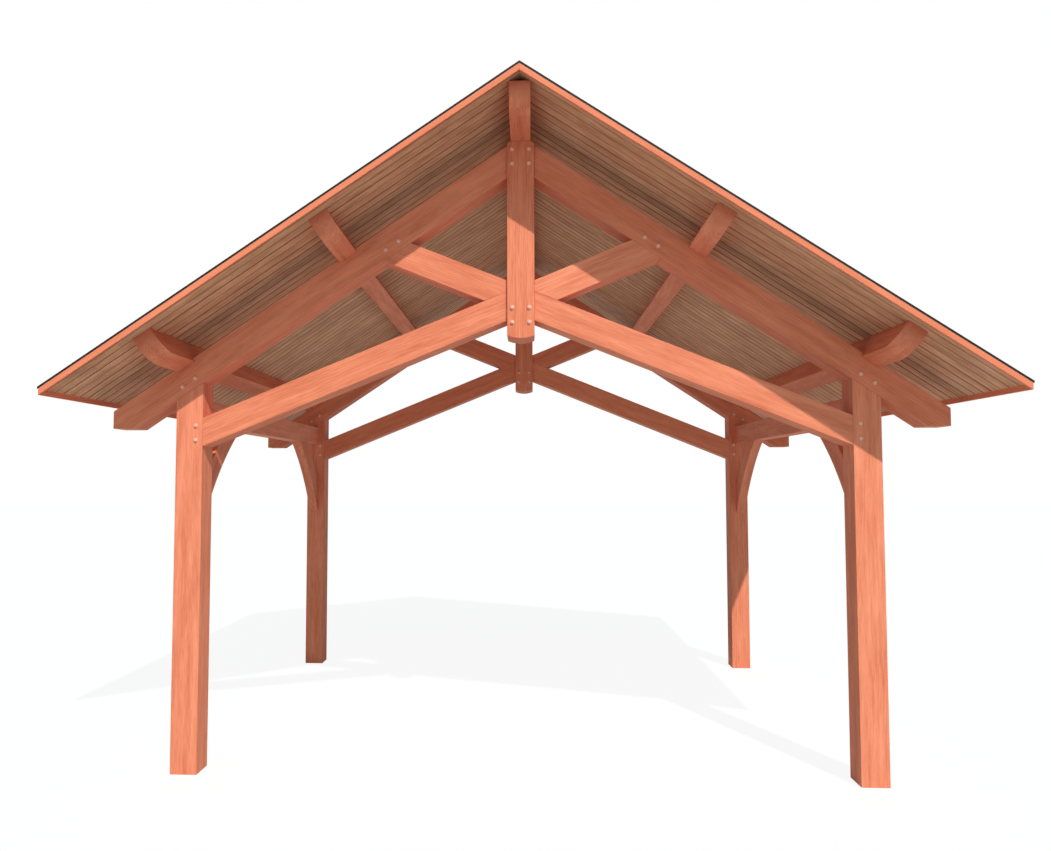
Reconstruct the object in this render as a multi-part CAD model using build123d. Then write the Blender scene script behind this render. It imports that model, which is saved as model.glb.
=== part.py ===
from build123d import *
from math import atan, cos, sin, sqrt
import os

# Open timber pavilion with a gable roof. Two scissor trusses with king posts stand on four posts.
# They carry a ridge beam and four purlins, and those carry the boarded deck and its roofing.
# Millimetres. X runs across the gable, Y from the front truss to the rear, Z up from the feet.

# Posts and plan
frame_width = 4876.8  # over the outer faces of the posts, across the gable
frame_depth = 3657.6  # over the outer faces of the posts, front to rear
post_side = 190.5  # square post; every truss timber is as thick, flush with it
post_over_girt = 160.3  # low side of the sloping cut for the rafter, above the girt's underside

# Rafters, with a plumb and a level cut at the tail
roof_slope_share = 2 / 3  # rise over run
rafter_depth = 190.5  # square to the slope
rafter_tail = 457.2  # level reach past the outer face of the post
tail_plumb_cut = 123.0  # upright cut at the end of the tail, above the level cut

# Scissor chords and struts, and the king post between them
chord_depth = 190.5  # square to its length
chord_drop = 248.4  # its top edge at the inner face of the post, under the rafter
chord_rise = 875.2  # of that edge, from the post to the side of the king post
king_width = 190.5
king_proud = 25.4  # stands out of each face of the truss
king_drop = 129.0  # lowest point under the bottom edge of the chords
king_crown = 20.0  # rise of the rounded foot from its middle to its corners

# Ridge beam and purlins, with rounded noses
beam_width = 139.7
beam_depth = 184.2
beam_nose = 27.0  # plain upright part of the end, above the rounding
ridge_setback = 79.6  # its ends, behind the deck's edges at the rakes
purlin_setback = 129.6
purlin_housing = 25.4  # how deep a purlin is let into the rafters
eave_purlin_up_slope = 609.6  # centre line, from the end of the rafter's tail
mid_purlin_share = 8 / 15  # of the way down the slope from the peak to the eave purlin

# Side girts and curved knee braces
girt_width = 139.7
girt_depth = 184.2
girt_height = 2438.4  # underside, which is the headroom at the sides
girt_setback = 63.5  # its inner face, from the inner faces of the posts
brace_width = 88.9
brace_setback = 6.35  # its inner face, from the girt's inner face
brace_depth = 235.0  # blank of the brace, square to its length
brace_leg = 762.0  # along the post, and as much along the girt
brace_rise = 63.5  # rise of the curve over the straight line between its ends

# Roof deck, edge trim and roofing
deck_thickness = 19.0
deck_eave_reach = 609.6  # level, past the outer face of the post
deck_rake_reach = 609.6  # past the outer face of the post
trim_thickness = 19.0
trim_depth = 38.1  # square to the slope; hides the edge of the deck and hangs under it
roofing_thickness = 10.0
roofing_drip = 6.0  # past the trim

# Places that follow from the sizes
outer_x = frame_width / 2
inner_x = outer_x - post_side
girt_x = inner_x + girt_setback
outer_y = frame_depth / 2
inner_y = outer_y - post_side
king_side = king_width / 2
slope = roof_slope_share
pitch = atan(slope)
post_height = girt_height + post_over_girt
rafter_foot_peak = post_height + slope * outer_x
rafter_top_peak = rafter_foot_peak + rafter_depth / cos(pitch)
tail_x = outer_x + rafter_tail
tail_soffit = rafter_top_peak - slope * tail_x - tail_plumb_cut
chord_slope = chord_rise / (inner_x - king_side)
chord_plumb_depth = chord_depth / cos(atan(chord_slope))
chord_peak = rafter_foot_peak - slope * inner_x - chord_drop + chord_slope * inner_x
deck_peak = rafter_top_peak + (beam_depth - purlin_housing) / cos(pitch)
deck_top_peak = deck_peak + deck_thickness / cos(pitch)
tail_down_slope = tail_x / cos(pitch) + (deck_peak - rafter_top_peak) * sin(pitch)
eave_purlin_down_slope = tail_down_slope - eave_purlin_up_slope
mid_purlin_down_slope = mid_purlin_share * eave_purlin_down_slope
ridge_top = deck_peak - slope * beam_width / 2
ridge_underside = ridge_top - beam_depth
deck_x = outer_x + deck_eave_reach
deck_y = outer_y + deck_rake_reach
trim_x = deck_x + trim_thickness
trim_y = deck_y + trim_thickness


def rafter_underside(x):
    """Height of the rafter's lower face at a distance x from the ridge."""
    return rafter_foot_peak - slope * x


def rafter_top(x):
    """Height of the rafter's upper face at a distance x from the ridge."""
    return rafter_top_peak - slope * x


def chord_top(x):
    """Height of the lower chord's upper edge at a distance x from the ridge."""
    return chord_peak - chord_slope * x


def strut_top(x):
    """Height of the strut's upper edge, in line with the chord of the other side."""
    return chord_peak + chord_slope * x


def deck_top(x):
    """Height of the deck's upper face at a distance x from the ridge."""
    return deck_top_peak - slope * x


def gable_prism(points, y_start, y_end):
    """Solid with an outline given as (x, z) points, running from y_start to y_end."""
    outline = Polyline(*[(x, y_start, z) for x, z in points], close=True)
    return extrude(make_face(outline), amount=y_end - y_start, dir=(0, 1, 0))


def left_of(solid):
    """The same piece on the left side of the gable."""
    return mirror(solid, about=Plane.YZ)


def rear_of(solid):
    """The same piece at the rear truss."""
    return mirror(solid, about=Plane.XZ)


def front_truss(points):
    """Timber of the front truss, flush with both faces of the post."""
    return gable_prism(points, -outer_y, -inner_y)


def make_post():
    """Square post with its top cut to the slope of the rafter."""
    return front_truss([
        (inner_x, 0),
        (outer_x, 0),
        (outer_x, rafter_underside(outer_x)),
        (inner_x, rafter_underside(inner_x)),
    ])


def make_rafter():
    """Rafter from the king post down to its tail, before the purlins are let in."""
    soffit_start = (rafter_foot_peak - tail_soffit) / slope
    return front_truss([
        (king_side, rafter_underside(king_side)),
        (king_side, rafter_top(king_side)),
        (tail_x, rafter_top(tail_x)),
        (tail_x, tail_soffit),
        (soffit_start, tail_soffit),
    ])


def make_lower_chord():
    """Lower chord of the scissors, from the post up to the king post."""
    return front_truss([
        (inner_x, chord_top(inner_x) - chord_plumb_depth),
        (inner_x, chord_top(inner_x)),
        (king_side, chord_top(king_side)),
        (king_side, chord_top(king_side) - chord_plumb_depth),
    ])


def make_strut():
    """Upper arm of the scissors, standing on the chord and the king post, up to the rafter."""
    notch_x = chord_plumb_depth / (2 * chord_slope)
    high_x = (rafter_foot_peak - chord_peak) / (slope + chord_slope)
    low_x = (rafter_foot_peak - chord_peak + chord_plumb_depth) / (slope + chord_slope)
    return front_truss([
        (king_side, chord_top(king_side)),
        (king_side, strut_top(king_side)),
        (high_x, rafter_underside(high_x)),
        (low_x, rafter_underside(low_x)),
        (notch_x, chord_top(notch_x)),
    ])


def make_king_post():
    """King post, proud of the truss on both faces, with a rounded foot and sloping shoulders."""
    foot = chord_top(king_side) - chord_plumb_depth - king_drop
    face_y = -outer_y - king_proud
    corner = foot + king_crown
    seat = beam_width / 2
    shoulder = ridge_underside - slope * (king_side - seat)
    outline = [
        Polyline(
            (-king_side, face_y, corner),
            (-king_side, face_y, shoulder),
            (-seat, face_y, ridge_underside),
            (seat, face_y, ridge_underside),
            (king_side, face_y, shoulder),
            (king_side, face_y, corner),
        ),
        ThreePointArc((king_side, face_y, corner), (0, face_y, foot), (-king_side, face_y, corner)),
    ]
    return extrude(make_face(outline), amount=post_side + 2 * king_proud, dir=(0, 1, 0))


def make_beam(top_edge, across, setback):
    """Roof beam along Y: its upper face starts at top_edge and spreads along the direction across."""
    end = deck_y - setback
    radius = beam_depth - beam_nose
    outline = [
        Line((-end, 0), (end, 0)),
        Line((end, 0), (end, -beam_nose)),
        RadiusArc((end, -beam_nose), (end - radius, -beam_depth), radius),
        Line((end - radius, -beam_depth), (radius - end, -beam_depth)),
        RadiusArc((radius - end, -beam_depth), (-end, -beam_nose), radius),
        Line((-end, -beam_nose), (-end, 0)),
    ]
    side_plane = Plane(origin=top_edge, x_dir=(0, 1, 0), z_dir=across)
    return extrude(side_plane * make_face(outline), amount=beam_width, dir=across)


def make_purlin(down_slope):
    """Purlin square to the right-hand slope, its centre line down_slope from the peak."""
    start = down_slope - beam_width / 2
    level = start * cos(pitch)
    return make_beam((level, 0, deck_peak - slope * level), Vector(1, 0, -slope).normalized(), purlin_setback)


def make_girt():
    """Girt between the front and the rear post of one side."""
    girt = Box(girt_width, 2 * inner_y, girt_depth, align=(Align.MIN, Align.CENTER, Align.MIN))
    return Pos(girt_x, 0, girt_height) * girt


def make_knee_brace():
    """Brace from the front post to the girt, with a curved underside and a straight back."""
    back_leg = brace_leg - brace_depth * sqrt(2)
    bow = (brace_leg - brace_rise * sqrt(2)) / 2
    outline = [
        ThreePointArc((0, -brace_leg), (bow, bow - (brace_leg - brace_rise * sqrt(2))), (brace_leg, 0)),
        Line((brace_leg, 0), (back_leg, 0)),
        Line((back_leg, 0), (0, -back_leg)),
        Line((0, -back_leg), (0, -brace_leg)),
    ]
    side_plane = Plane(
        origin=(girt_x + brace_setback, -inner_y, girt_height),
        x_dir=(0, 1, 0),
        z_dir=(1, 0, 0),
    )
    return extrude(side_plane * make_face(outline), amount=brace_width, dir=(1, 0, 0))


def make_slope_sheet(end_x, top_peak, thickness, y_start, y_end):
    """Sheet on the right-hand slope under top_peak, with plumb cuts at the ridge and at end_x."""
    plumb = thickness / cos(pitch)
    return gable_prism([
        (0, top_peak),
        (end_x, top_peak - slope * end_x),
        (end_x, top_peak - slope * end_x - plumb),
        (0, top_peak - plumb),
    ], y_start, y_end)


def make_roof_deck():
    """Deck of one slope."""
    return make_slope_sheet(deck_x, deck_top_peak, deck_thickness, -deck_y, deck_y)


def make_rake_trim():
    """Trim over the front edge of the deck."""
    return make_slope_sheet(trim_x, deck_top_peak, trim_depth, -trim_y, -deck_y)


def make_eave_trim():
    """Upright trim along the eave, between the rake trims, with its top cut to the slope."""
    underside = deck_top(trim_x) - trim_depth / cos(pitch)
    return gable_prism([
        (deck_x, underside),
        (deck_x, deck_top(deck_x)),
        (trim_x, deck_top(trim_x)),
        (trim_x, underside),
    ], -deck_y, deck_y)


def make_roofing():
    """Roofing of one slope, over the deck and its trim."""
    edge_y = trim_y + roofing_drip
    peak = deck_top_peak + roofing_thickness / cos(pitch)
    return make_slope_sheet(trim_x + roofing_drip, peak, roofing_thickness, -edge_y, edge_y)


mid_purlin = make_purlin(mid_purlin_down_slope)
eave_purlin = make_purlin(eave_purlin_down_slope)

# One of each piece that repeats at the four corners, as it stands at the front right
corner_pieces = {
    "post": make_post(),
    "rafter": make_rafter() - mid_purlin - eave_purlin,
    "lower_chord": make_lower_chord(),
    "strut": make_strut(),
    "knee_brace": make_knee_brace(),
    "rake_trim": make_rake_trim(),
}

# One of each piece that repeats on the two sides, as it stands on the right
side_pieces = {
    "mid_purlin": mid_purlin,
    "eave_purlin": eave_purlin,
    "girt": make_girt(),
    "roof_deck": make_roof_deck(),
    "eave_trim": make_eave_trim(),
    "roofing": make_roofing(),
}

king_post = make_king_post()
nodes = {
    "front_king_post": king_post,
    "rear_king_post": rear_of(king_post),
    "ridge_beam": make_beam((-beam_width / 2, 0, ridge_top), (1, 0, 0), ridge_setback),
}
for name, piece in corner_pieces.items():
    nodes["front_right_" + name] = piece
    nodes["front_left_" + name] = left_of(piece)
    nodes["rear_right_" + name] = rear_of(piece)
    nodes["rear_left_" + name] = left_of(rear_of(piece))
for name, piece in side_pieces.items():
    nodes["right_" + name] = piece
    nodes["left_" + name] = left_of(piece)

os.makedirs("parts", exist_ok=True)
for name, solid in nodes.items():
    export_step(solid, "parts/" + name + ".step")
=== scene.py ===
"""Open timber pavilion: its timbers, deck boards, bolts and shingles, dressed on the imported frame. Metres."""
import math
import bmesh
import bpy
import numpy as np
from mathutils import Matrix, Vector


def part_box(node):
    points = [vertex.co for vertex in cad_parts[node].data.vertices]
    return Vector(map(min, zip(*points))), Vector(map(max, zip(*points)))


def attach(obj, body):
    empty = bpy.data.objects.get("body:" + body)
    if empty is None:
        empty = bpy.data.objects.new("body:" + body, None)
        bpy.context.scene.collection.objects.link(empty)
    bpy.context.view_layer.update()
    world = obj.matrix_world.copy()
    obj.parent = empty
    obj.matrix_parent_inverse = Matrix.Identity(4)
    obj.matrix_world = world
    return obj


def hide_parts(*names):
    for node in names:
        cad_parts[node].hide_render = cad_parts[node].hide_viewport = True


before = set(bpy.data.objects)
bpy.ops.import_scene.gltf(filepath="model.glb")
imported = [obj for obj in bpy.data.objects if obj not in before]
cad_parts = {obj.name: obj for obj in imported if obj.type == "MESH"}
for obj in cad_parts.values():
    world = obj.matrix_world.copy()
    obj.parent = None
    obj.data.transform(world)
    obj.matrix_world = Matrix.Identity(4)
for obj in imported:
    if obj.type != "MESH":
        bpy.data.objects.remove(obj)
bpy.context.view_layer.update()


# Posts
# Four square posts of clear redwood, planed on all faces, stained, and with their edges eased by a sander.
# They stand on their sawn ends, and the top of each is cut to the slope of the rafter that it carries.
corners = [f"{end}_{side}" for end in ("front", "rear") for side in ("left", "right")]
edge_ease = 0.003
ease_steps = 2
merge_share = 1 / 30  # of the ease, within which points are one corner
smooth_angle = math.radians(25)
flat_angle = math.radians(0.5)
pith_distances = (0.16, 0.3)  # from the middle of a timber to the pith of its log, as in heart-free stock
log_offset = 20.0  # along the grain, so that no two timbers share a figure
timber_tone = 0.1
sawn_share = 0.5  # of the darker colour of end grain
sawn_power = 4  # how fast that colour fades as a face turns away from the cut
draws = np.random.default_rng(12)


def linear(hex_colour):
    """Linear colour of an sRGB hex value: each channel goes through the inverse of the sRGB curve."""
    srgb = np.array([int(hex_colour[i:i + 2], 16) for i in (1, 3, 5)]) / 255
    curve = np.where(srgb <= 0.04045, srgb / 12.92, ((srgb + 0.055) / 1.055) ** 2.4)
    return (*curve.tolist(), 1.0)


def add_node(tree, kind, inputs=None, **settings):
    """Adds one shader node. Each input, by name or number, is a plain value or a socket to link from."""
    node = tree.nodes.new("ShaderNode" + kind)
    for name, value in settings.items():
        setattr(node, name, value)
    for key, value in (inputs or {}).items():
        if isinstance(value, bpy.types.NodeSocket):
            tree.links.new(value, node.inputs[key])
        else:
            node.inputs[key].default_value = value
    return node


def stained_wood(name, light, dark, end, ring, fibre, patch, roughness, joint=None):
    """Planed, stained softwood that reads the attribute grain: metres along the fibres, then across from the
    pith. Growth rings are waves of the distance from the pith, bent by a slow noise, so flat faces show long
    arches. Fibres and patches of stain are noises stretched along the grain, as long and as wide as given.
    The fibres are drawn wider than the real 1 mm, so that they show. The attribute tone sets one timber off
    from the next, sawn ends drink more stain, and a joint colour darkens tongue joints."""
    bend = (1.1, 0.12)  # along and across the grain
    rings_bent = 3.5
    noise_finish = {"Detail": 3.0, "Roughness": 0.55}
    ring_share, fibre_share = 0.06, 0.7  # beside the patches' 1
    stain_range = (0.45, 1.25)
    roughness_swing = 0.1
    fibre_relief, relief_strength = 0.0006, 0.35
    material = bpy.data.materials.new(name)
    material.use_nodes = True
    tree = material.node_tree
    shader = tree.nodes["Principled BSDF"]
    grain = add_node(tree, "Attribute", attribute_name="grain").outputs["Vector"]
    tone = add_node(tree, "Attribute", attribute_name="tone").outputs["Fac"]
    sawn = add_node(tree, "Attribute", attribute_name="sawn_end").outputs["Fac"]
    noises = []
    for along, across in (fibre, bend, patch):
        scaled = add_node(tree, "Mapping", {"Vector": grain, "Scale": (1 / along, 1 / across, 1 / across)})
        inputs = {"Vector": scaled.outputs[0], "Scale": 1.0, **noise_finish}
        noises.append(add_node(tree, "TexNoise", inputs).outputs["Fac"])
    fibres, bends, patches = noises
    from_pith = add_node(tree, "Mapping", {"Vector": grain, "Scale": (0.0, 1.0, 1.0)}).outputs[0]
    radius = add_node(tree, "VectorMath", {0: from_pith}, operation="LENGTH").outputs["Value"]
    bending = {0: bends, 1: rings_bent * ring, 2: radius}
    bent = add_node(tree, "Math", bending, operation="MULTIPLY_ADD").outputs[0]
    turns = add_node(tree, "Math", {0: bent, 1: math.tau / ring}, operation="MULTIPLY").outputs[0]
    wave = add_node(tree, "Math", {0: turns}, operation="SINE").outputs[0]
    shade = add_node(tree, "Math", {0: wave, 1: ring_share, 2: tone}, operation="MULTIPLY_ADD").outputs[0]
    streaks = {0: fibres, 1: fibre_share, 2: shade}
    figure = add_node(tree, "Math", streaks, operation="MULTIPLY_ADD").outputs[0]
    stain = add_node(tree, "Math", {0: patches, 1: figure}, operation="ADD").outputs[0]
    limits = {"Value": stain, "From Min": stain_range[0], "From Max": stain_range[1]}
    depth = add_node(tree, "MapRange", limits).outputs[0]
    colour = add_node(tree, "Mix", {0: depth, 6: linear(light), 7: linear(dark)}, data_type="RGBA").outputs[2]
    colour = add_node(tree, "Mix", {0: sawn, 6: colour, 7: linear(end)}, data_type="RGBA").outputs[2]
    if joint:
        groove = add_node(tree, "Attribute", attribute_name="groove").outputs["Fac"]
        colour = add_node(tree, "Mix", {0: groove, 6: colour, 7: linear(joint)}, data_type="RGBA").outputs[2]
    tree.links.new(colour, shader.inputs["Base Color"])
    limits = {"Value": fibres, "To Min": roughness - roughness_swing, "To Max": roughness + roughness_swing}
    rough = add_node(tree, "MapRange", limits)
    tree.links.new(rough.outputs[0], shader.inputs["Roughness"])
    relief = add_node(tree, "Bump", {"Height": figure, "Strength": relief_strength, "Distance": fibre_relief})
    tree.links.new(relief.outputs[0], shader.inputs["Normal"])
    shader.inputs["IOR"].default_value = 1.45
    shader.inputs["Specular IOR Level"].default_value = 0.3
    return material


redwood = stained_wood("planed_redwood_stained", light="#F09774", dark="#C76848", end="#C46A4B",
                       ring=0.016, fibre=(0.1, 0.0065), patch=(0.5, 0.05), roughness=0.7)


def set_attribute(mesh, name, domain, values):
    """Stores one number, or one vector, for each point or face."""
    kind, field = ("FLOAT", "value") if values.ndim == 1 else ("FLOAT_VECTOR", "vector")
    attribute = mesh.attributes.new(name, kind, domain)
    attribute.data.foreach_set(field, values.astype(np.float32).ravel())


def grain_frame(along):
    """Three square directions as rows: along the fibres, then two across them, by cross products. The first
    of these is square to y as well, or to x where the fibres run along y."""
    parallel = 0.9  # cosine
    along = np.array(along) / np.linalg.norm(along)
    side = np.cross(along, (0.0, 1.0, 0.0) if abs(along[1]) < parallel else (1.0, 0.0, 0.0))
    side /= np.linalg.norm(side)
    return np.stack([along, side, np.cross(along, side)])


def ease_timber(node, along, material, ease=edge_ease):
    """A copy of one solid timber with its triangles merged into whole flat faces, and its edges eased.
    The grain runs along the given direction, about a pith that lies beside the timber."""
    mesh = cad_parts[node].data.copy()
    shell = bmesh.new()
    shell.from_mesh(mesh)
    bmesh.ops.remove_doubles(shell, verts=shell.verts, dist=merge_share * ease)
    bmesh.ops.dissolve_limit(shell, angle_limit=flat_angle, verts=shell.verts, edges=shell.edges)
    shell.to_mesh(mesh)
    shell.free()
    points = np.empty(3 * len(mesh.vertices), np.float32)
    mesh.vertices.foreach_get("co", points)
    points = points.reshape(-1, 3)
    normals = np.empty(3 * len(mesh.polygons), np.float32)
    mesh.polygons.foreach_get("normal", normals)
    axes = grain_frame(along)
    turn = draws.uniform(0, math.tau)
    pith = draws.uniform(*pith_distances) * np.array([0.0, math.cos(turn), math.sin(turn)])
    pith[0] = draws.uniform(-log_offset, log_offset)
    middle = (points.max(0) + points.min(0)) / 2
    set_attribute(mesh, "grain", "POINT", (points - middle) @ axes.T + pith)
    set_attribute(mesh, "tone", "POINT", np.full(len(points), draws.uniform(-timber_tone, timber_tone)))
    facing = np.abs(normals.reshape(-1, 3) @ axes[0])
    set_attribute(mesh, "sawn_end", "FACE", sawn_share * facing ** sawn_power)
    mesh.polygons.foreach_set("use_smooth", np.ones(len(mesh.polygons), bool))
    mesh.set_sharp_from_angle(angle=smooth_angle)
    mesh.materials.clear()
    mesh.materials.append(material)
    timber = bpy.data.objects.new(node + "_timber", mesh)
    bpy.context.scene.collection.objects.link(timber)
    eased = timber.modifiers.new("eased_edges", "BEVEL")
    eased.width = ease
    eased.segments = ease_steps
    eased.limit_method = "ANGLE"
    eased.angle_limit = smooth_angle
    eased.harden_normals = True
    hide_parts(node)
    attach(timber, "root")


for corner in corners:
    ease_timber(corner + "_post", (0, 0, 1), redwood)


# Girts and knee braces
# A redwood girt joins the front and the rear post of each side, between their inner faces.
# The braces are sawn from a wide plank with the grain along it, curved below and straight behind.
for side in ("left", "right"):
    ease_timber(side + "_girt", (0, 1, 0), redwood)
for corner in corners:
    rise = 1 if corner.startswith("front") else -1
    ease_timber(corner + "_knee_brace", (0, 1, rise), redwood)


# Scissor trusses
# Redwood chords, struts and rafters as thick as the posts, flush with them and bolted through hidden steel.
# The king post is thicker, stands out of both faces, and is rounded at its foot.
roof_slope = 2 / 3  # rise over run, as the rafters are cut
chord_slope = 0.4066  # of the scissors' chords and struts
for corner in corners:
    out = 1 if corner.endswith("right") else -1
    ease_timber(corner + "_lower_chord", (out, 0, -chord_slope), redwood)
    ease_timber(corner + "_strut", (out, 0, chord_slope), redwood)
    ease_timber(corner + "_rafter", (out, 0, -roof_slope), redwood)
for end in ("front", "rear"):
    ease_timber(end + "_king_post", (0, 0, 1), redwood)


# Ridge beam and purlins
# Five redwood beams let down on the king posts and into the rafters. They run past both trusses to carry the
# deck's overhang, and their ends are band-sawn to a quarter round and sanded.
for beam in ("ridge_beam", "left_mid_purlin", "right_mid_purlin", "left_eave_purlin", "right_eave_purlin"):
    ease_timber(beam, (0, 1, 0), redwood)


# Bolts
# Galvanised round-headed bolts through the trusses, the same on both faces, each on a small washer.
# Their warm pale colour paints the reflection of the redwood around them, so they show as pale warm dots with
# dull highlights.
head_radius = 0.0125
head_height = 0.0155
head_side_share = 0.7  # of the head's height, below its dome
washer_radius = 0.0155
washer_height = 0.0025
head_turns = 20  # faces round a head
dome_rows = 6
dome_reach = math.radians(85)  # of the quarter ellipse, up to a small flat crown
head_smooth_angle = math.radians(40)
rafter_depth = 0.1905
rafter_bolt_share = 0.31  # of the rafter's depth, up from its underside
rafter_pair_pitch = 0.110
seat_bolt_share = 0.55  # of the post's width, from its inner face, for the pair over the post
strut_bolt_x = 0.908
pair_pitch = 0.1025
post_bolt_share = 0.25  # of the post's width, from its inner face
post_bolt_rise = 0.098  # from the lowest corner of the chord to the middle of the pair
king_bolt_x = 0.0594
king_bolt_drops = (0.0585, 0.161)  # from the top of the king post
king_bolt_rises = (0.112, 0.215)  # from its foot


def galvanised_steel():
    """Hot-dip zinc: a dull pale skin, mottled in patches of a few millimetres, with a warm tint that paints the
    reflection of the redwood around it.
    """
    spangle = 0.004
    roughness = (0.62, 0.78)
    material = bpy.data.materials.new("galvanised_steel_painted_reflection")
    material.use_nodes = True
    tree = material.node_tree
    shader = tree.nodes["Principled BSDF"]
    place = add_node(tree, "TexCoord").outputs["Object"]
    cells = add_node(tree, "TexVoronoi", {"Vector": place, "Scale": 1 / spangle}).outputs["Distance"]
    # The warm pink of both colours is painted reflection of the redwood, not the zinc's own grey.
    shades = {0: cells, 6: linear("#EDBFA9"), 7: linear("#DDAB94")}
    colour = add_node(tree, "Mix", shades, data_type="RGBA")
    tree.links.new(colour.outputs[2], shader.inputs["Base Color"])
    rough = add_node(tree, "MapRange", {"Value": cells, "To Min": roughness[0], "To Max": roughness[1]})
    tree.links.new(rough.outputs[0], shader.inputs["Roughness"])
    shader.inputs["Metallic"].default_value = 0.3
    return material


def build_mesh(name, points, face_groups, material):
    """An object at the origin from an array of points and arrays of faces, each with equally many corners."""
    mesh = bpy.data.meshes.new(name)
    mesh.from_pydata(points.reshape(-1, 3), [], sum((group.tolist() for group in face_groups), []))
    mesh.materials.append(material)
    piece = bpy.data.objects.new(name, mesh)
    bpy.context.scene.collection.objects.link(piece)
    return piece


def bolt_heads(centres, outward):
    """Round heads on one face: a profile of washer, side and dome turned about each bolt's axis.
    The dome is a quarter ellipse from the head's side to its crown, and flat discs close both ends."""
    dome = np.linspace(0, dome_reach, dome_rows)
    side_height = head_side_share * head_height
    dome_height = side_height + (head_height - side_height) * np.sin(dome)
    radius = np.concatenate([[washer_radius, washer_radius, head_radius], head_radius * np.cos(dome)])
    height = np.concatenate([[0, washer_height, washer_height], dome_height])
    angle = np.linspace(0, math.tau, head_turns, endpoint=False)
    x = centres[:, 0, None, None] + radius[:, None] * np.cos(angle)
    z = centres[:, 2, None, None] + radius[:, None] * np.sin(angle) * -outward
    y = centres[:, 1, None, None] + np.broadcast_to(outward * height[:, None], x.shape)
    index = np.arange(x.size).reshape(x.shape)
    turned = np.roll(index, -1, axis=2)
    quads = np.stack([index[:, :-1], turned[:, :-1], turned[:, 1:], index[:, 1:]], axis=-1)
    discs = np.concatenate([index[:, 0, ::-1], index[:, -1]])
    return np.stack([x, y, z], axis=-1).reshape(-1, 3), quads.reshape(-1, 4), discs


post_low, post_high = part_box("front_right_post")
king_low, king_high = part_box("front_king_post")
chord_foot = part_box("front_right_lower_chord")[0].z
post_width = post_high.x - post_low.x
slope_length = math.hypot(1, roof_slope)  # along the roof, for a run of 1
bolt_line = post_high.z + roof_slope * post_low.x + rafter_bolt_share * rafter_depth * slope_length
slope_step = rafter_pair_pitch / 2 / slope_length
flat_places = [(post_low.x + post_bolt_share * post_width, chord_foot + post_bolt_rise + step)
               for step in (pair_pitch / 2, -pair_pitch / 2)]
for middle_x in (post_low.x + seat_bolt_share * post_width, strut_bolt_x):
    for bolt_x in (middle_x - slope_step, middle_x + slope_step):
        flat_places.append((bolt_x, bolt_line - roof_slope * bolt_x))
flat_places += [(-x, z) for x, z in flat_places]
king_levels = [king_high.z - drop for drop in king_bolt_drops]
king_levels += [king_low.z + rise for rise in king_bolt_rises]
king_places = [(x, z) for x in (-king_bolt_x, king_bolt_x) for z in king_levels]
zinc = galvanised_steel()
for end in ("front", "rear"):
    heads, faces = [], []
    for outward, corner in ((-1, 0), (1, 1)):
        face_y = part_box(end + "_right_post")[corner].y
        king_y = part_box(end + "_king_post")[corner].y
        centres = [(x, face_y, z) for x, z in flat_places] + [(x, king_y, z) for x, z in king_places]
        points, quads, discs = bolt_heads(np.array(centres), outward)
        faces += [quads + len(points) * len(heads), discs + len(points) * len(heads)]
        heads.append(points)
    bolts = build_mesh(end + "_truss_bolts", np.concatenate(heads), faces, zinc)
    bolts.data.polygons.foreach_set("use_smooth", np.ones(len(bolts.data.polygons), bool))
    bolts.data.set_sharp_from_angle(angle=head_smooth_angle)
    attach(bolts, "root")


# Roof deck
# Narrow tongue-and-groove boards, each in one length from the ridge to the eave, nailed down on the purlins.
# Their lower edges are chamfered, so a V groove that holds dark stain runs along each joint under the roof.
board_pitch = 0.1002
board_thickness = 0.019
groove_half = 0.006
groove_depth = 0.0045
stain_edge = 0.004
joint_gap = 0.0004
first_board = {"left": 0.043, "right": 0.091}  # ripped at the front edge
board_tone = 0.05
joint_stains = (0.45, 1.0)  # shares of the joint's colour
board_shifts = ((-20, -0.1, -0.3), (20, 0.1, -0.1))  # along the grain, then across from the pith
deck_wood = stained_wood("tongue_and_groove_boards_stained", light="#F4BD97", dark="#AB7552", end="#A36F50",
                         ring=0.02, fibre=(0.14, 0.014), patch=(0.25, 0.06), roughness=0.75, joint="#7C563B")


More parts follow.
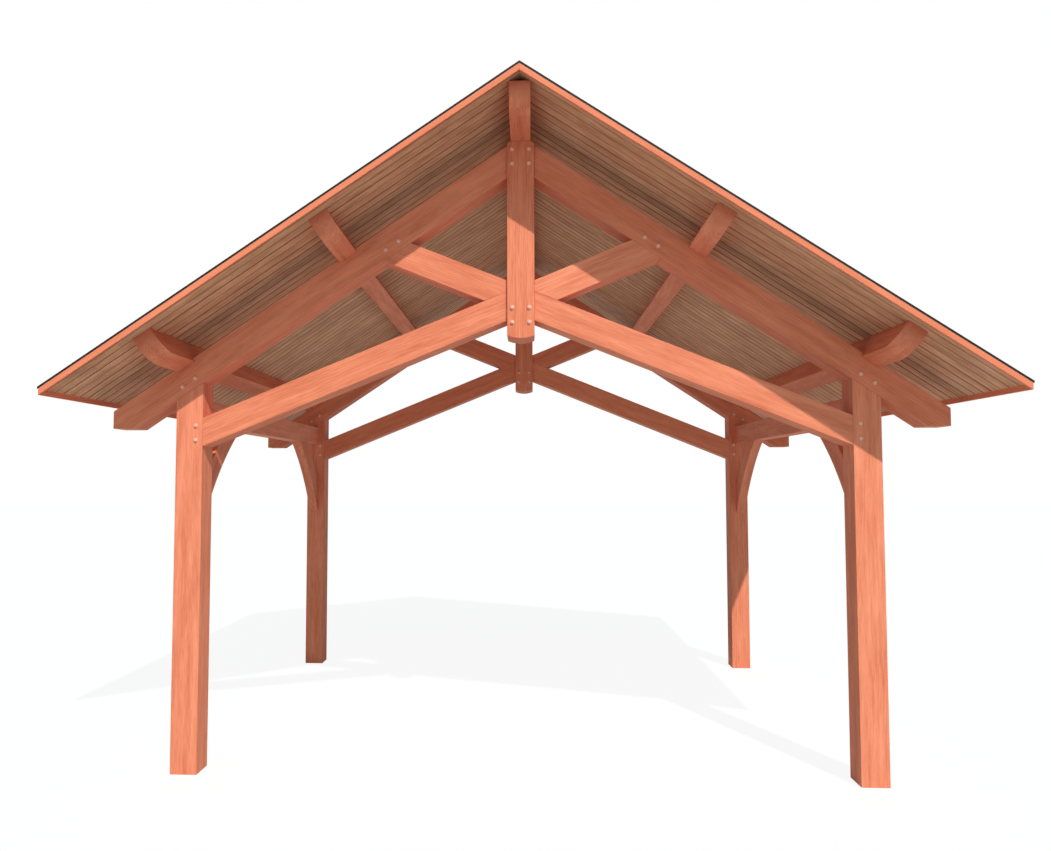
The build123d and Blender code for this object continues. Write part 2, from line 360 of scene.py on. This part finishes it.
def board_row(side):
    """Boards of one slope. Across, each has its top, a joint, a chamfer and a flat underside, and the stain
    of the chamfer fades out on the flat. They are carried from the plumb cut at the ridge to the one at the
    eave, and heights follow the roof's slope."""
    low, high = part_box(side + "_roof_deck")
    out = 1 if side == "right" else -1
    reach = max(abs(low.x), abs(high.x))
    plumb = high.z - low.z - roof_slope * reach
    many = math.ceil((high.y - low.y) / board_pitch) + 1
    joints = low.y + first_board[side] + board_pitch * np.arange(-1, many)
    edges = np.unique(np.clip(joints, low.y, high.y))
    inset = joint_gap / 2 + np.array([0.0, 0.0, groove_half, groove_half + stain_edge])
    y = np.concatenate([edges[:-1, None] + inset, edges[1:, None] - inset[::-1]], axis=1)
    lift = np.array([board_thickness, groove_depth, 0.0, 0.0]) * plumb / board_thickness
    x = np.array([0.0, reach])
    points = np.empty((len(y), 2, 8, 3))
    points[..., 0] = out * x[:, None]
    points[..., 1] = y[:, None, :]
    points[..., 2] = high.z - plumb - roof_slope * x[:, None] + np.concatenate([lift, lift[::-1]])
    around = points.shape[2]
    index = np.arange(points[..., 0].size).reshape(len(y), 2, around)
    ridge, eave = index[:, 0], index[:, 1]
    ahead = np.roll(np.arange(around), -1)
    sides = np.stack([ridge, eave, eave[:, ahead], ridge[:, ahead]], axis=-1).reshape(-1, 4)
    end_quads = np.array([[0, 1, 2, 3], [0, 3, 4, 7], [4, 5, 6, 7]])
    ends = np.concatenate([ridge[:, end_quads], eave[:, end_quads[:, ::-1]]]).reshape(-1, 4)
    quads = np.concatenate([sides, ends])[:, ::-out]
    boards = build_mesh(side + "_deck_boards", points, [quads], deck_wood)
    axes = grain_frame((out, 0, -roof_slope))
    middle = points.mean(axis=(1, 2), keepdims=True)
    shifts = draws.uniform(*board_shifts, (len(y), 3))[:, None, None]
    set_attribute(boards.data, "grain", "POINT", ((points - middle) @ axes.T + shifts).reshape(-1, 3))
    tones = draws.uniform(-board_tone, board_tone, len(y))
    set_attribute(boards.data, "tone", "POINT", np.repeat(tones, 2 * around))
    stains = draws.uniform(*joint_stains, len(edges))
    before = stains[:-1, None] * np.array([1, 1, 1, 0])
    after = stains[1:, None] * np.array([0, 1, 1, 1])
    groove = np.tile(np.concatenate([before, after], axis=1)[:, None], (1, 2, 1))
    set_attribute(boards.data, "groove", "POINT", groove.ravel())
    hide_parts(side + "_roof_deck")
    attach(boards, "root")


for side in ("left", "right"):
    board_row(side)


# Edge trim
# Square redwood strips nailed over the ends of the deck, mitred at the ridge, and hanging a little under it.
# They are stained like the timbers and catch the full light along the rakes.
trim_ease = 0.0015
trim_wood = stained_wood("planed_redwood_trim", light="#EC8F6C", dark="#D67754", end="#CB7250",
                         ring=0.012, fibre=(0.4, 0.012), patch=(0.5, 0.05), roughness=0.65)
for corner in corners:
    out = 1 if corner.endswith("right") else -1
    ease_timber(corner + "_rake_trim", (out, 0, -roof_slope), trim_wood, trim_ease)
for side in ("left", "right"):
    ease_timber(side + "_eave_trim", (0, 1, 0), trim_wood, trim_ease)


# Shingles
# Laminated asphalt shingles in black granules, nailed in courses from the eave up over felt.
# Each course has a plain strip below, and thicker tabs of uneven width that are glued on it.
course_exposure = 0.143
course_lap = 0.014  # under the course above
least_course = 0.043  # at the ridge
strip_heights = (0.0, 0.006, 0.0, 0.004)  # lower and upper at the butt, then at the head
tab_heights = (0.005, 0.0095, 0.003, 0.0055)
tab_widths = (0.09, 0.22)
tab_gaps = (0.03, 0.12)
least_tab = 0.01
tab_tones = (-0.08, 0.06)
# The shadow band is partly printed darker granules and partly painted shade under the butt of the course above.
shadow_band = 0.16  # darker granules at the head of a course, as laminated shingles have
edging_width = 0.012


def asphalt_granules():
    """Asphalt felt with crushed mineral granules: rough and almost black, with grey specks of about 2 mm.
    The specks are drawn at 4 mm, so that they show. The attribute tone sets tabs and courses off."""
    speck = 0.004
    cloud = 0.33
    speck_share, cloud_share = 0.7, 0.3  # beside the tone's 1
    shade_range = (0.25, 0.8)
    granule_relief, relief_strength = 0.001, 0.5
    material = bpy.data.materials.new("asphalt_shingle_granules")
    material.use_nodes = True
    tree = material.node_tree
    shader = tree.nodes["Principled BSDF"]
    place = add_node(tree, "TexCoord").outputs["Object"]
    specks = add_node(tree, "TexNoise", {"Vector": place, "Scale": 1 / speck, "Detail": 1.0}).outputs["Fac"]
    clouds = add_node(tree, "TexNoise", {"Vector": place, "Scale": 1 / cloud, "Detail": 2.0}).outputs["Fac"]
    tone = add_node(tree, "Attribute", attribute_name="tone").outputs["Fac"]
    inputs = {0: specks, 1: speck_share, 2: tone}
    speckled = add_node(tree, "Math", inputs, operation="MULTIPLY_ADD").outputs[0]
    inputs = {0: clouds, 1: cloud_share, 2: speckled}
    clouded = add_node(tree, "Math", inputs, operation="MULTIPLY_ADD").outputs[0]
    limits = {"Value": clouded, "From Min": shade_range[0], "From Max": shade_range[1]}
    depth = add_node(tree, "MapRange", limits).outputs[0]
    shades = {0: depth, 6: linear("#1B1918"), 7: linear("#4B4744")}
    colour = add_node(tree, "Mix", shades, data_type="RGBA").outputs[2]
    tree.links.new(colour, shader.inputs["Base Color"])
    inputs = {"Height": specks, "Strength": relief_strength, "Distance": granule_relief}
    relief = add_node(tree, "Bump", inputs)
    tree.links.new(relief.outputs[0], shader.inputs["Normal"])
    shader.inputs["Roughness"].default_value = 0.9
    shader.inputs["Specular IOR Level"].default_value = 0.2
    return material


granules = asphalt_granules()


def slope_boxes(boxes, side):
    """Thin boxes on one slope, from rows of: outer x, inner x, start y, stop y, then lower and upper height
    at the outer edge and at the inner one. Heights are square to the roof and count from the deck, and ends
    are plumb."""
    deck_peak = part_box(side + "_roof_deck")[1].z
    out = 1 if side == "right" else -1
    x = boxes[:, [0, 0, 1, 1, 0, 0, 1, 1]]
    y = boxes[:, [2, 3, 3, 2, 2, 3, 3, 2]]
    z = deck_peak - roof_slope * x + boxes[:, [4, 4, 6, 6, 5, 5, 7, 7]] * slope_length
    quads = np.array([[0, 1, 2, 3], [7, 6, 5, 4], [1, 0, 4, 5], [2, 1, 5, 6], [3, 2, 6, 7], [0, 3, 7, 4]])
    faces = x.shape[1] * np.arange(len(boxes))[:, None, None] + quads[:, ::-out]
    return np.stack([out * x, y, z], axis=-1), faces.reshape(-1, 4)


def shingle_slope(side):
    """Courses of one slope. A course is a strip from its butt to under the next course, with tabs on it.
    Widths and gaps are drawn at random along the course, then cut at the rakes."""
    low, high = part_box(side + "_roofing")
    start_y, stop_y = low.y + edging_width, high.y - edging_width
    step = course_exposure / slope_length
    butts = np.arange(max(abs(low.x), abs(high.x)), least_course / slope_length, -step)
    heads = np.maximum(butts - step - course_lap / slope_length, 0.0)
    many = int((stop_y - start_y) / (tab_widths[0] + tab_gaps[0])) + 2
    widths = draws.uniform(*tab_widths, (len(butts), many))
    gaps = draws.uniform(*tab_gaps, (len(butts), many))
    stops = start_y + np.cumsum(widths + gaps, axis=1) - gaps[:, :1]
    starts = np.clip(stops - widths, start_y, stop_y)
    stops = np.clip(stops, start_y, stop_y)
    strips = np.empty((len(butts), many + 1, 8))
    strips[..., 0] = butts[:, None]
    strips[..., 1] = heads[:, None]
    strips[:, 0, 2:] = (start_y, stop_y, *strip_heights)
    strips[:, 1:, 2] = starts
    strips[:, 1:, 3] = stops
    strips[:, 1:, 4:] = tab_heights
    strips = strips.reshape(-1, 8)
    strips = strips[strips[:, 3] - strips[:, 2] > least_tab]
    points, quads = slope_boxes(strips, side)
    shingles = build_mesh(side + "_shingles", points, [quads], granules)
    band = -shadow_band * np.array([0, 0, 1, 1, 0, 0, 1, 1])
    tones = draws.uniform(*tab_tones, (len(strips), 1)) + band
    set_attribute(shingles.data, "tone", "POINT", tones.ravel())
    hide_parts(side + "_roofing")
    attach(shingles, "root")


for side in ("left", "right"):
    shingle_slope(side)


# Rake edging
# Folded aluminium in black paint, nailed along the rakes to close the ends of the courses.
# Its lip hangs over the trim, so it shows from the front as a thin black line, mitred at the ridge.
edging_height = 0.0099
lip_drop = 0.0029
lip_thickness = 0.001
lip_setback = 0.0048  # from the edge of the roofing


def black_painted_aluminium():
    """Coil-coated sheet: even satin black, with a faint ripple of about 15 mm and dust in patches."""
    ripple = 0.015
    dust = 0.12
    roughness = (0.5, 0.7)
    ripple_relief, relief_strength = 0.0005, 0.1
    material = bpy.data.materials.new("black_painted_aluminium")
    material.use_nodes = True
    tree = material.node_tree
    shader = tree.nodes["Principled BSDF"]
    place = add_node(tree, "TexCoord").outputs["Object"]
    waves = add_node(tree, "TexNoise", {"Vector": place, "Scale": 1 / ripple}).outputs["Fac"]
    patches = add_node(tree, "TexNoise", {"Vector": place, "Scale": 1 / dust}).outputs["Fac"]
    shades = {0: patches, 6: linear("#0B0A0A"), 7: linear("#141312")}
    colour = add_node(tree, "Mix", shades, data_type="RGBA").outputs[2]
    tree.links.new(colour, shader.inputs["Base Color"])
    rough = add_node(tree, "MapRange", {"Value": patches, "To Min": roughness[0], "To Max": roughness[1]})
    tree.links.new(rough.outputs[0], shader.inputs["Roughness"])
    relief = add_node(tree, "Bump", {"Height": waves, "Strength": relief_strength, "Distance": ripple_relief})
    tree.links.new(relief.outputs[0], shader.inputs["Normal"])
    shader.inputs["Specular IOR Level"].default_value = 0.25
    return material


black_paint = black_painted_aluminium()


def rake_edging(side):
    """Edging of both rakes of one slope: an angle of flange and lip, carried from the eave to the ridge.
    Its corners go round from the top of the lip's face, inwards over the flange and back down the lip."""
    low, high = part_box(side + "_roofing")
    deck_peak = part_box(side + "_roof_deck")[1].z
    out = 1 if side == "right" else -1
    flange = edging_width - lip_setback
    inwards = np.array([0.0, flange, flange, lip_thickness, lip_thickness, 0.0])
    heights = np.array([edging_height, edging_height, 0.0, 0.0, -lip_drop, -lip_drop])
    x = np.array([max(abs(low.x), abs(high.x)), 0.0])
    points = np.empty((2, 2, 6, 3))
    points[..., 0] = out * x[:, None]
    points[0, ..., 1] = low.y + lip_setback + inwards
    points[1, ..., 1] = high.y - lip_setback - inwards
    points[..., 2] = deck_peak - roof_slope * x[:, None] + heights * slope_length
    rake_points = points[0, ..., 0].size
    eave, ridge = np.arange(rake_points).reshape(2, -1)
    skin = np.stack([eave, np.roll(eave, -1), np.roll(ridge, -1), ridge], axis=-1)
    end_quads = np.array([[0, 1, 2, 3], [0, 3, 4, 5]])
    quads = np.concatenate([skin, eave[end_quads[:, ::-1]], ridge[end_quads]])
    rakes = [quads[:, ::out], rake_points + quads[:, ::-out]]
    edging = build_mesh(side + "_rake_edging", points, rakes, black_paint)
    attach(edging, "root")


for side in ("left", "right"):
    rake_edging(side)


# Ridge caps
# Single asphalt shingle tabs bent over the ridge, each lapping the one behind it, with the nails under the
# lap. They start and stop a little inside the edging.
cap_half_run = 0.125
cap_exposure = 0.143
cap_lap = 0.03
cap_thickness = 0.004
cap_lifts = (0.0098, 0.0053)  # underside at the open end, and under the next cap
cap_tone = 0.1
cap_shares = np.array([-1, -0.5, -0.12, -0.05, 0, 0.05, 0.12, 0.5, 1])  # closer at the fold
fold_radius = 0.007
end_setback = 0.013
low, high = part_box("right_roofing")
deck_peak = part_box("right_roof_deck")[1].z
cap_start = np.arange(low.y + end_setback, high.y - end_setback - cap_lap, cap_exposure)
cap_stop = np.minimum(cap_start + cap_exposure + cap_lap, high.y - end_setback)
across = cap_half_run * cap_shares
fold = roof_slope * np.sqrt(across ** 2 + fold_radius ** 2)
plumb_lift = np.array(cap_lifts)[:, None] * slope_length
shell = np.empty((len(cap_start), 2, 2 * len(across), 3))
shell[..., 0] = np.concatenate([across, across[::-1]])
shell[..., 1] = np.stack([cap_start, cap_stop], axis=1)[:, :, None]
shell[..., :len(across), 2] = deck_peak + plumb_lift + cap_thickness * slope_length - fold
shell[..., len(across):, 2] = deck_peak + plumb_lift - fold[::-1]
around = 2 * len(across)
index = np.arange(shell[..., 0].size).reshape(len(cap_start), 2, around)
near, far = index[:, 0], index[:, 1]
ahead = np.roll(np.arange(around), -1)
skin = np.stack([near, near[:, ahead], far[:, ahead], far], axis=-1).reshape(-1, 4)
first = np.arange(len(across) - 1)
end_quad = np.stack([first, around - 1 - first, around - 2 - first, first + 1], axis=-1)
ends = np.concatenate([near[:, end_quad].reshape(-1, 4), far[:, end_quad[:, ::-1]].reshape(-1, 4)])
caps = build_mesh("ridge_caps", shell, [skin, ends], granules)
tones = draws.uniform(-cap_tone, cap_tone, len(cap_start))
set_attribute(caps.data, "tone", "POINT", np.repeat(tones, 2 * around))
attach(caps, "root")


# Floor
# A plain pale studio floor of matt paint.
# Seen directly it shows as white with a faint shadow of the pavilion, and it throws light up under the roof.
floor_half = 60.0
floor_paint = "#CCD7DA"
white_share = 0.86
white_level = 1.06


def seen_directly(tree):
    """One for rays from the camera, from gloss or through glass, else zero: the largest of the three."""
    paths = add_node(tree, "LightPath").outputs
    inputs = {0: paths["Is Camera Ray"], 1: paths["Is Glossy Ray"]}
    either = add_node(tree, "Math", inputs, operation="MAXIMUM").outputs[0]
    inputs = {0: either, 1: paths["Is Transmission Ray"]}
    return add_node(tree, "Math", inputs, operation="MAXIMUM").outputs[0]


matt_floor = bpy.data.materials.new("pale_studio_floor")
matt_floor.use_nodes = True
floor_tree = matt_floor.node_tree
floor_tree.nodes.clear()
seen_share = {0: seen_directly(floor_tree), 1: white_share}
white_part = add_node(floor_tree, "Math", seen_share, operation="MULTIPLY")
matt = add_node(floor_tree, "BsdfDiffuse", {"Color": linear(floor_paint)})
white = add_node(floor_tree, "Emission", {"Color": (1, 1, 1, 1), "Strength": white_level})
mixed = add_node(floor_tree, "MixShader", {0: white_part.outputs[0], 1: matt.outputs[0], 2: white.outputs[0]})
add_node(floor_tree, "OutputMaterial", {"Surface": mixed.outputs[0]})
floor_points = floor_half * np.array([(-1, -1, 0), (1, -1, 0), (1, 1, 0), (-1, 1, 0)], float)
floor = build_mesh("studio_floor", floor_points, [np.array([[0, 1, 2, 3]])], matt_floor)


# Light
# One sun lamp high at the front right, and a soft cool surround that fills the shade.
# The surround is brighter towards the front and the back than to the sides, and shows as white.
sun_toward = Vector((0.289, -0.660, 0.694))
sun_strength = 3.28
sun_colour = "#FFF7F1"
sun_width = math.radians(0.8)
fill_colour = "#AFBCBF"
fill_shares = (0.1, 1.8)  # of the fill: from everywhere, and added towards the front and the back
lamp = bpy.data.lights.new("key_sun", "SUN")
lamp.energy = sun_strength
lamp.color = linear(sun_colour)[:3]
lamp.angle = sun_width
sun = bpy.data.objects.new("key_sun", lamp)
sun.rotation_euler = sun_toward.to_track_quat("Z", "Y").to_euler()
bpy.context.scene.collection.objects.link(sun)
world = bpy.data.worlds.new("white_surround")
world.use_nodes = True
bpy.context.scene.world = world
sky_tree = world.node_tree
seen = seen_directly(sky_tree)
direction = add_node(sky_tree, "TexCoord").outputs["Generated"]
front_back = add_node(sky_tree, "SeparateXYZ", {0: direction}).outputs["Y"]
square = add_node(sky_tree, "Math", {0: front_back, 1: front_back}, operation="MULTIPLY").outputs[0]
fill = {0: square, 1: fill_shares[1], 2: fill_shares[0]}
fill = add_node(sky_tree, "Math", fill, operation="MULTIPLY_ADD").outputs[0]
level = add_node(sky_tree, "Mix", {0: seen, 2: fill, 3: 1.0}).outputs[0]
shades = {0: seen, 6: linear(fill_colour), 7: (1, 1, 1, 1)}
colour = add_node(sky_tree, "Mix", shades, data_type="RGBA").outputs[2]
sky_tree.links.new(colour, sky_tree.nodes["Background"].inputs["Color"])
sky_tree.links.new(level, sky_tree.nodes["Background"].inputs["Strength"])
bpy.context.scene.view_settings.view_transform = "Standard"


# Camera
# Eye height, a little to the right of the middle and turned to the left, as the photograph was framed.
photo_width, photo_height = 1051, 851
focal_pixels = 822.0
principal_pixel = (486.2, 436.6)
eye = (0.056, -7.511, 2.039)
tilt = math.radians(92.997)
turn = math.radians(3.003)
camera_data = bpy.data.cameras.new("photo_camera")
camera_data.sensor_width = 36.0
camera_data.lens = camera_data.sensor_width * focal_pixels / photo_width
camera_data.shift_x = (photo_width / 2 - principal_pixel[0]) / photo_width
camera_data.shift_y = (principal_pixel[1] - photo_height / 2) / photo_width
camera = bpy.data.objects.new("photo_camera", camera_data)
camera.location = eye
camera.rotation_euler = (tilt, 0, turn)
bpy.context.scene.collection.objects.link(camera)
bpy.context.scene.camera = camera
